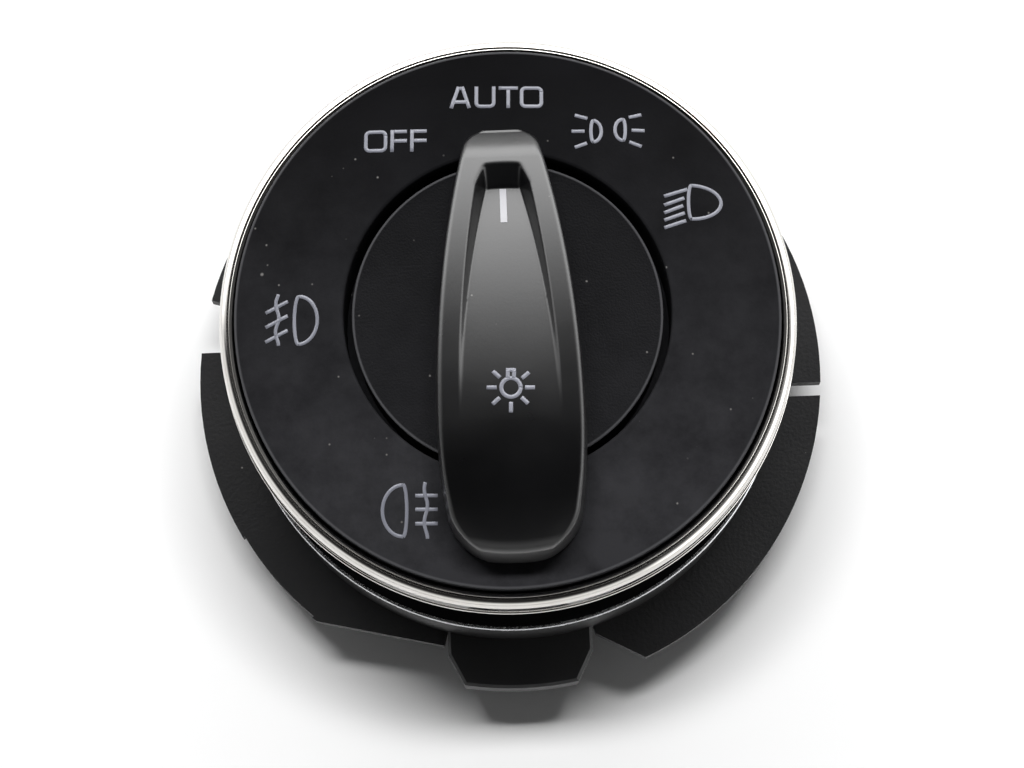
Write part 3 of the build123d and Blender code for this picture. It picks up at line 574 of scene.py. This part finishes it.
def grip_shell(material):
    """The grip: a tapering crowned bar with a thumb recess that fades into its spine, on a round pad."""
    level = face_level()
    bm = bmesh.new()
    bmesh.ops.create_grid(bm, x_segments=GRIP_COLUMNS, y_segments=GRIP_ROWS, size=1)
    for v in bm.verts:
        y, z = side_view((v.co.y + 1) / 2)
        x, z = across(min(abs(v.co.x), 1.0), y, z)
        x = x if v.co.x > 0 else -x
        near_end = max(0.0, min(1.0, (GRIP_BOW_START - y) / GRIP_BOW_LENGTH))
        bow = (GRIP_END_RADIUS - sqrt(GRIP_END_RADIUS**2 - x**2)) * near_end
        v.co = Vector((x * MM, (y + bow) * MM, z * MM + level))
    rim = [e for e in bm.edges if e.is_boundary]
    under = bmesh.ops.contextual_create(bm, geom=rim)["faces"]
    for drop in (0.0, PAD_LOW - GRIP_FOOT):
        grown = bmesh.ops.extrude_face_region(bm, geom=under)["geom"]
        bmesh.ops.delete(bm, geom=under, context="FACES_ONLY")
        under = [g for g in grown if isinstance(g, bmesh.types.BMFace)]
        for v in [g for g in grown if isinstance(g, bmesh.types.BMVert)]:
            reach = hypot(v.co.x, v.co.y) / MM
            v.co.xy *= min(1.0, PAD_RADIUS / reach)
            v.co.z += drop * MM
    bmesh.ops.remove_doubles(bm, verts=bm.verts, dist=MERGE_DISTANCE)
    bmesh.ops.recalc_face_normals(bm, faces=bm.faces)
    piece = placed_piece(bm, "grip_shell", "knob", material, GRIP_CREASE)
    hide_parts("knob_grip")
    return piece


def pointer_line(material):
    """The pointer: a narrow light blade that stands a little out of the recess's floor."""
    level = face_level()
    bm = bmesh.new()
    bmesh.ops.create_grid(bm, x_segments=2, y_segments=24, size=1)
    for v in bm.verts:
        y = mix(POINTER_NEAR_Y, POINTER_FAR_Y, (v.co.y + 1) / 2)
        z = recess_floor(y) + POINTER_STAND
        v.co = Vector((v.co.x * POINTER_WIDTH / 2 * MM, y * MM, z * MM + level))
    bmesh.ops.translate(bm, verts=grown_verts(bm, bm.faces[:]), vec=(0, 0, -POINTER_DEPTH * MM))
    bmesh.ops.recalc_face_normals(bm, faces=bm.faces)
    piece = placed_piece(bm, "pointer_line", "knob", material, GRIP_CREASE)
    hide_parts("pointer_window")


# Rings

def bent(start, bulge, end, steps):
    """Points on a curve from start to end, drawn towards the bulge point."""
    return [curve_point(start, bulge, end, i / steps) for i in range(steps + 1)]


def turned(section, level, name, material, replaced):
    """A ring turned from its section, which is given in millimetres from the axis and above a level."""
    bm = bmesh.new()
    verts = [bm.verts.new((r * MM, 0, z * MM + level)) for r, z in section]
    edges = [bm.edges.new(pair) for pair in zip(verts, verts[1:])]
    edges.append(bm.edges.new((verts[-1], verts[0])))
    bmesh.ops.spin(bm, geom=verts + edges, cent=(0, 0, 0), axis=(0, 0, 1), angle=2 * pi,
                   steps=RING_STEPS, use_merge=True)
    bmesh.ops.recalc_face_normals(bm, faces=bm.faces)
    piece = placed_piece(bm, name, "housing", material, RING_CREASE)
    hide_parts(replaced)


def trim_ring(material):
    """The bright ring: an inner bead, a groove, the broad outer band and the foot lip."""
    section = [(RING_INNER, RING_FOOT), (RING_INNER, -2.3)]
    section += bent((RING_INNER, -2.2), (RING_INNER, -1.92), (34.75, -1.895), 4)
    section += bent((34.76, -1.892), (34.98, -1.86), (35.1, -1.84), 4)
    section += bent((35.11, -1.839), (35.24, -1.83), (35.24, -2.1), 4)
    section += [(35.25, -2.6), (35.42, -2.6)]
    section += bent((35.43, -2.1), (35.43, -1.86), (35.5, -1.88), 5)
    section += bent((35.51, -1.884), (36.25, -2.05), (36.45, -3.0), 14)
    section += bent((36.455, -3.1), (36.48, -4.5), (36.48, -6.5), 12)
    section += bent((36.48, -6.6), (36.48, -6.75), (36.3, -6.75), 4)
    section += [(36.2, -6.76), (36.2, -6.95)]
    section += bent((36.5, -6.95), (36.65, -6.95), (36.65, -7.1), 4)
    section += bent((36.65, -7.9), (36.65, RING_FOOT), (36.45, RING_FOOT), 4)
    turned(section, face_level(), "turned_trim_ring", material, "chrome_ring")


def bead_ring(material):
    """The thin bead at the collar's rear edge, with a softly rounded outer face."""
    low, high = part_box("collar_bead")
    outer = high[0] / MM
    height = (high[2] - low[2]) / MM
    inner = outer - BEAD_WALL
    section = [(inner, 0.0), (inner, height)]
    section += bent((outer - BEAD_ROUND, height), (outer, height), (outer, height - BEAD_ROUND), 5)
    section += bent((outer, BEAD_ROUND), (outer, 0.0), (outer - BEAD_ROUND, 0.0), 5)
    turned(section, low[2], "turned_collar_bead", material, "collar_bead")


# Materials

def new_material(name):
    material = bpy.data.materials.new(name)
    material.use_nodes = True
    tree = material.node_tree
    return material, tree, tree.nodes["Principled BSDF"]


def add(tree, kind, links=(), **values):
    """A node with some inputs set by name and others linked from (output socket, input name) pairs."""
    node = tree.nodes.new(kind)
    for key, value in values.items():
        if key in node.inputs:
            node.inputs[key].default_value = value
        else:
            setattr(node, key, value)
    for socket, name in links:
        tree.links.new(socket, node.inputs[name])
    return node


def object_place(tree):
    return tree.nodes.new("ShaderNodeTexCoord").outputs["Object"]


def noise(tree, place, scale, detail=3.0, roughness=0.5):
    node = add(tree, "ShaderNodeTexNoise", [(place, "Vector")], Scale=scale, Detail=detail,
               Roughness=roughness)
    return node.outputs["Fac"]


def combined(tree, operation, first, second, **values):
    """Two values put together by a sum of this kind."""
    node = add(tree, "ShaderNodeMath", [(first, 0), (second, 1)], operation=operation, **values)
    return node.outputs[0]


def scaled(tree, place, factors):
    """A place stretched or flattened along each axis."""
    node = add(tree, "ShaderNodeVectorMath", [(place, 0)], operation="MULTIPLY")
    node.inputs[1].default_value = factors
    return node.outputs[0]


def spread(tree, value, low, high, out_low, out_high):
    """A value range stretched to another range."""
    node = tree.nodes.new("ShaderNodeMapRange")
    tree.links.new(value, node.inputs["Value"])
    for key, number in (("From Min", low), ("From Max", high), ("To Min", out_low), ("To Max", out_high)):
        node.inputs[key].default_value = number
    return node.outputs["Result"]


def blend(tree, share, first, second):
    """Two colours mixed by a share; each is a colour or a socket."""
    node = tree.nodes.new("ShaderNodeMix")
    node.data_type = "RGBA"
    tree.links.new(share, node.inputs["Factor"])
    for key, colour in ((MIX_FIRST, first), (MIX_SECOND, second)):
        if isinstance(colour, tuple):
            node.inputs[key].default_value = (*colour, 1)
        else:
            tree.links.new(colour, node.inputs[key])
    return node.outputs[MIX_RESULT]


def bump(tree, height, distance, below=None):
    """Relief of a depth in metres, on top of another relief where one is given."""
    node = add(tree, "ShaderNodeBump", [(height, "Height")], Distance=distance, Strength=1.0)
    if below:
        tree.links.new(below, node.inputs["Normal"])
    return node.outputs["Normal"]


def dust(tree, place, scale, size, share):
    """A mask of small scattered specks: a few cells of a pattern, each with a dot."""
    cells = add(tree, "ShaderNodeTexVoronoi", [(place, "Vector")], Scale=scale)
    dot = spread(tree, cells.outputs["Distance"], size, size * 0.4, 0, 1)
    pick = add(tree, "ShaderNodeSeparateColor", [(cells.outputs["Color"], "Color")])
    chosen = spread(tree, pick.outputs["Red"], share, share * 0.9, 0, 1)
    return combined(tree, "MULTIPLY", dot, chosen)


def outer_edge(tree, place, radius, level):
    """A mask of the thin upper edge of a round part, from its radius and the level of that edge, where a
    painted highlight goes.
    """
    flat = scaled(tree, place, (1, 1, 0))
    reach = add(tree, "ShaderNodeVectorMath", [(flat, 0)], operation="LENGTH").outputs["Value"]
    out = spread(tree, reach, radius - 0.0004, radius - 0.0002, 0, 1)
    height = add(tree, "ShaderNodeSeparateXYZ", [(place, "Vector")]).outputs["Z"]
    high = spread(tree, height, level - 0.0005, level - 0.0003, 0, 1)
    return combined(tree, "MULTIPLY", out, high)


def worn_film(tree, place):
    """A mask of the grey film that handling leaves, cloudy, and stronger towards the near side; that
    strengthening is painted light, as if lit from the front.
    """
    along = add(tree, "ShaderNodeSeparateXYZ", [(place, "Vector")]).outputs["Y"]
    # Painted light: the near side is lightened more, standing in for light from the front.
    painted_near_light = spread(tree, along, 0.03, -0.03, 0, 1)
    cloud = spread(tree, noise(tree, place, FILM_SCALE, 6, 0.7), 0.3, 0.7, 0.55, 1.25)
    return combined(tree, "MULTIPLY", painted_near_light, cloud, use_clamp=True)


def black_plastic(name, colour, lighter, roughness, grain, depth, dust_share=0.0, gloss=0.5, edge=None,
                  ripple=0.0, film=None):
    """Moulded black plastic with colour drift, grain and smudges, and with marks where asked.

    The grain is a scale, and depth and ripple are in metres. The edge is the radius and level of
    an outer edge that gets a painted highlight and a smoother finish, and the film is the colour of
    the grey that handling leaves, laid on more strongly towards the near side as painted light.
    """
    material, tree, shader = new_material(name)
    shader.inputs["Specular IOR Level"].default_value = gloss
    place = object_place(tree)
    drift = spread(tree, noise(tree, place, DRIFT_SCALE), 0.35, 0.7, 0, 1)
    base = blend(tree, drift, colour, lighter)
    # The grey film is partly handling film and partly painted light on the near side.
    if film:
        base = blend(tree, worn_film(tree, place), base, film)
    if dust_share:
        specks = dust(tree, place, SPECK_SCALE, SPECK_SIZE, dust_share)
        lint = dust(tree, place, LINT_SCALE, LINT_SIZE, dust_share * 0.8)
        base = blend(tree, combined(tree, "MAXIMUM", specks, lint), base, DUST_COLOUR)
    smudges = noise(tree, place, SMUDGE_SCALE, 4, 0.6)
    shine = spread(tree, smudges, 0.3, 0.7, roughness - 0.05, roughness + 0.07)
    if edge:
        # Painted highlight: the thin outer edge is lightened in colour, and also made smoother.
        edge_highlight = outer_edge(tree, place, *edge)
        base = blend(tree, edge_highlight, base, EDGE_HIGHLIGHT_COLOUR)
        shine = spread(tree, combined(tree, "SUBTRACT", shine, edge_highlight), 0, 1, 0.15, 1)
    tree.links.new(base, shader.inputs["Base Color"])
    tree.links.new(shine, shader.inputs["Roughness"])
    relief = bump(tree, noise(tree, place, grain, 2), depth)
    if ripple:
        stretched = scaled(tree, place, RIPPLE_STRETCH)
        relief = bump(tree, noise(tree, stretched, RIPPLE_SCALE, 2), ripple, relief)
    tree.links.new(relief, shader.inputs["Normal"])
    return material


def metal(name, colour, worn, roughness, scale, depth):
    """Bright metal with faint mottling and fine scratches."""
    material, tree, shader = new_material(name)
    place = object_place(tree)
    shader.inputs["Metallic"].default_value = 1
    mottle = spread(tree, noise(tree, place, scale, 4), 0.45, 0.75, 0, 1)
    tree.links.new(blend(tree, mottle, colour, worn), shader.inputs["Base Color"])
    wear = noise(tree, place, scale * 3)
    tree.links.new(spread(tree, wear, 0.3, 0.7, roughness * 0.7, roughness * 1.4), shader.inputs["Roughness"])
    tree.links.new(bump(tree, noise(tree, place, scale * 8), depth), shader.inputs["Normal"])
    return material


def pale_plastic(name, colour, darker, roughness):
    """Pale moulded plastic, paint or lacquer with a faint drift of colour and a fine grain."""
    material, tree, shader = new_material(name)
    place = object_place(tree)
    drift = spread(tree, noise(tree, place, 250), 0.35, 0.7, 0, 1)
    tree.links.new(blend(tree, drift, colour, darker), shader.inputs["Base Color"])
    wear = spread(tree, noise(tree, place, 90), 0.3, 0.7, roughness - 0.05, roughness + 0.05)
    tree.links.new(wear, shader.inputs["Roughness"])
    tree.links.new(bump(tree, noise(tree, place, 3000), 0.00001), shader.inputs["Normal"])
    return material


def acrylic(name):
    """Clear acrylic with a breath of haze."""
    material, tree, shader = new_material(name)
    place = object_place(tree)
    shader.inputs["Transmission Weight"].default_value = 0.9
    shader.inputs["IOR"].default_value = 1.49
    tree.links.new(blend(tree, noise(tree, place, 120), (0.86, 0.88, 0.9), (0.8, 0.84, 0.88)),
                   shader.inputs["Base Color"])
    tree.links.new(spread(tree, noise(tree, place, 200), 0.3, 0.7, 0.05, 0.2), shader.inputs["Roughness"])
    return material


MATERIALS = {}


def finish(make, slot, *values, **options):
    """Keep a slot's finish under the name of the slot."""
    MATERIALS[slot] = make(slot, *values, **options)


finish(black_plastic, "housing_plastic", (0.004, 0.004, 0.0045), (0.008, 0.008, 0.0085), 0.5, 2200, 0.00004,
       dust_share=0.03, gloss=0.3)
finish(black_plastic, "cover_plastic", (0.007, 0.007, 0.0075), (0.012, 0.012, 0.013), 0.55, 2200, 0.00004)
finish(black_plastic, "collar_plastic", (0.002, 0.002, 0.0022), (0.004, 0.004, 0.0045), 0.5, 2500, 0.000002,
       gloss=0.0)
# The face and the disc have a painted highlight on their outer edge, and painted light in their film on the
# near side.
finish(black_plastic, "face_plastic", (0.0018, 0.0018, 0.002), (0.0038, 0.0038, 0.0044), 0.42, 2600, 0.00002,
       dust_share=0.15, gloss=0.012, edge=(0.03435, 0.0646), film=(0.031, 0.031, 0.034))
finish(black_plastic, "disc_plastic", (0.0025, 0.0025, 0.0028), (0.004, 0.004, 0.0046), 0.42, 3600, 0.00007,
       dust_share=0.06, gloss=0.06, edge=(0.0195, 0.06585), film=(0.013, 0.013, 0.0145))
finish(black_plastic, "grip_plastic", (0.001, 0.001, 0.0012), (0.002, 0.002, 0.0024), 0.27, 3000, 0.000006,
       dust_share=0.03, gloss=0.5, ripple=0.000003)
finish(metal, "trim_chrome", (0.76, 0.74, 0.71), (0.69, 0.665, 0.63), 0.07, 150, 0.0)
finish(metal, "bead_metal", (0.62, 0.63, 0.65), (0.5, 0.5, 0.5), 0.25, 400, 0.000004)
finish(pale_plastic, "pointer_white", (0.36, 0.36, 0.38), (0.3, 0.3, 0.32), 0.45)
finish(acrylic, "clear_acrylic")
finish(pale_plastic, "board_green", (0.02, 0.12, 0.05), (0.03, 0.16, 0.07), 0.35)
finish(pale_plastic, "lamp_body", (0.8, 0.78, 0.6), (0.7, 0.68, 0.52), 0.3)
finish(black_plastic, "chip_black", (0.02, 0.02, 0.022), (0.03, 0.03, 0.03), 0.5, 3000, 0.00001)
finish(metal, "contact_brass", (0.7, 0.5, 0.22), (0.5, 0.34, 0.14), 0.25, 500, 0.000004)
finish(metal, "spring_steel", (0.55, 0.56, 0.58), (0.42, 0.42, 0.42), 0.25, 500, 0.000004)
finish(metal, "screw_zinc", (0.62, 0.62, 0.6), (0.5, 0.5, 0.46), 0.3, 500, 0.000004)
finish(pale_plastic, "natural_acetal", (0.72, 0.7, 0.64), (0.64, 0.62, 0.56), 0.4)
finish(black_plastic, "shaft_acetal", (0.03, 0.03, 0.032), (0.045, 0.045, 0.047), 0.45, 2500, 0.00001)


def dress_nodes():
    """Each CAD node takes the material of its slot."""
    for part in frame["record"]["subparts"]:
        node = frame["nodes"][part["node"]]
        node.data.materials.clear()
        node.data.materials.append(MATERIALS[part["material_slot"]])


def symbols(grip):
    """The words and lamp symbols on the face, and the bulb on the grip."""
    paint = pale_plastic("symbol_paint", (0.2, 0.205, 0.24), (0.15, 0.155, 0.185), 0.5)
    face = frame["nodes"]["bezel_face"]
    auto = word([(letter_a, -4.5), (letter_u, -1.37), (letter_t, 1.56), (letter_o, 4.5)], -0.43, 28.0)
    off = word([(letter_o, -2.45), (letter_f, 0.45), (letter_f, 2.95)], -13.33, 22.75)
    printed("switch_letters", auto + off, LETTER_STROKE, face, "housing", paint)
    lamps = {"parking_symbol": parking_lamps(), "dipped_symbol": dipped_beam(),
             "front_fog_symbol": front_fog(), "rear_fog_symbol": rear_fog()}
    for name, paths in lamps.items():
        printed(name, paths, LAMP_STROKE, face, "housing", paint)
    printed("bulb_symbol", bulb(), BULB_STROKE, grip, "knob", paint)


# Room, light and camera

def floor():
    mesh = bpy.data.meshes.new("floor")
    bm = bmesh.new()
    bmesh.ops.create_grid(bm, x_segments=1, y_segments=1, size=FLOOR_SIZE / 2)
    bm.to_mesh(mesh)
    bm.free()
    obj = linked("floor", mesh)
    material, _, shader = new_material("white_table")
    shader.inputs["Base Color"].default_value = FLOOR_COLOUR
    shader.inputs["Roughness"].default_value = 0.9
    mesh.materials.append(material)


def ramp(tree, value, stops):
    """A grey level read from a value, with straight stretches between the stops."""
    node = tree.nodes.new("ShaderNodeValToRGB")
    tree.links.new(value, node.inputs["Fac"])
    elements = node.color_ramp.elements
    while len(elements) < len(stops):
        elements.new(0.5)
    for element, (position, level) in zip(elements, stops):
        element.position = position
        element.color = (level, level, level, 1)
    return node.outputs["Color"]


def room():
    """What glossy surfaces mirror: a dark ceiling, pale walls, a window and a dimmer one to the right."""
    world = bpy.data.worlds.new("room")
    bpy.context.scene.world = world
    world.cycles_visibility.diffuse = False
    world.use_nodes = True
    tree = world.node_tree
    tree.nodes.clear()
    place = tree.nodes.new("ShaderNodeTexCoord").outputs["Generated"]
    height = add(tree, "ShaderNodeSeparateXYZ", [(place, "Vector")]).outputs["Z"]
    flat = scaled(tree, place, (1, 1, 0))
    bearing = add(tree, "ShaderNodeVectorMath", [(flat, 0)], operation="NORMALIZE").outputs[0]
    sides = add(tree, "ShaderNodeSeparateXYZ", [(bearing, "Vector")])
    behind = spread(tree, sides.outputs["Y"], *WINDOW_FADE, 0, 1)
    aside = spread(tree, sides.outputs["X"], *SIDE_WINDOW_FADE, 0, 1)
    around = blend(tree, aside, ramp(tree, height, WALLS), ramp(tree, height, SIDE_WINDOW))
    mirrored_room = blend(tree, behind, around, ramp(tree, height, WINDOW))
    seen = tree.nodes.new("ShaderNodeLightPath").outputs["Is Camera Ray"]
    colour = blend(tree, seen, mirrored_room, (1.0, 1.0, 1.0))
    background = add(tree, "ShaderNodeBackground", [(colour, "Color")])
    output = tree.nodes.new("ShaderNodeOutputWorld")
    tree.links.new(background.outputs[0], output.inputs["Surface"])


def soft_box(name, place, size, power):
    """A rectangular lamp that lights the scene without showing in the glossy surfaces."""
    light = bpy.data.lights.new(name, "AREA")
    light.shape = "RECTANGLE"
    light.size, light.size_y = size
    light.energy = power
    obj = linked(name, light)
    obj.location = place
    obj.rotation_euler = (Vector(place) - Vector(LAMP_AIM)).to_track_quat("Z", "Y").to_euler()
    obj.visible_glossy = False


def camera():
    """The camera at the photograph's angle, tilted towards the near side and rolled a little."""
    tilt, roll = CAMERA_TILT, CAMERA_ROLL
    aim = Vector((*CAMERA_AIM, face_level()))
    back = Vector((0, -sin(tilt), cos(tilt)))
    right = Vector((1, 0, 0))
    up = back.cross(right)
    turned_right = cos(roll) * right + sin(roll) * up
    turned_up = cos(roll) * up - sin(roll) * right
    view = bpy.data.cameras.new("camera")
    view.sensor_width = SENSOR_WIDTH
    view.lens = FOCAL_PIXELS / PICTURE_WIDTH * SENSOR_WIDTH
    obj = linked("camera", view)
    turn = Matrix((turned_right, turned_up, back)).transposed().to_4x4()
    obj.matrix_world = Matrix.Translation(aim + back * CAMERA_DISTANCE) @ turn
    bpy.context.scene.camera = obj


bpy.context.scene.view_settings.view_transform = "Standard"
dress_nodes()
grip = grip_shell(MATERIALS["grip_plastic"])
pointer_line(MATERIALS["pointer_white"])
trim_ring(MATERIALS["trim_chrome"])
bead_ring(MATERIALS["bead_metal"])
symbols(grip)
floor()
room()
soft_box("strip_lamp", (0, 0.108, 0.86), (0.34, 0.06), 6.8)
soft_box("fill_lamp", (0, 0, 1.2), (2.0, 2.0), 2.1)
soft_box("back_lamp", (0, 0.6, 0.75), (1.1, 0.3), 2.5)
camera()
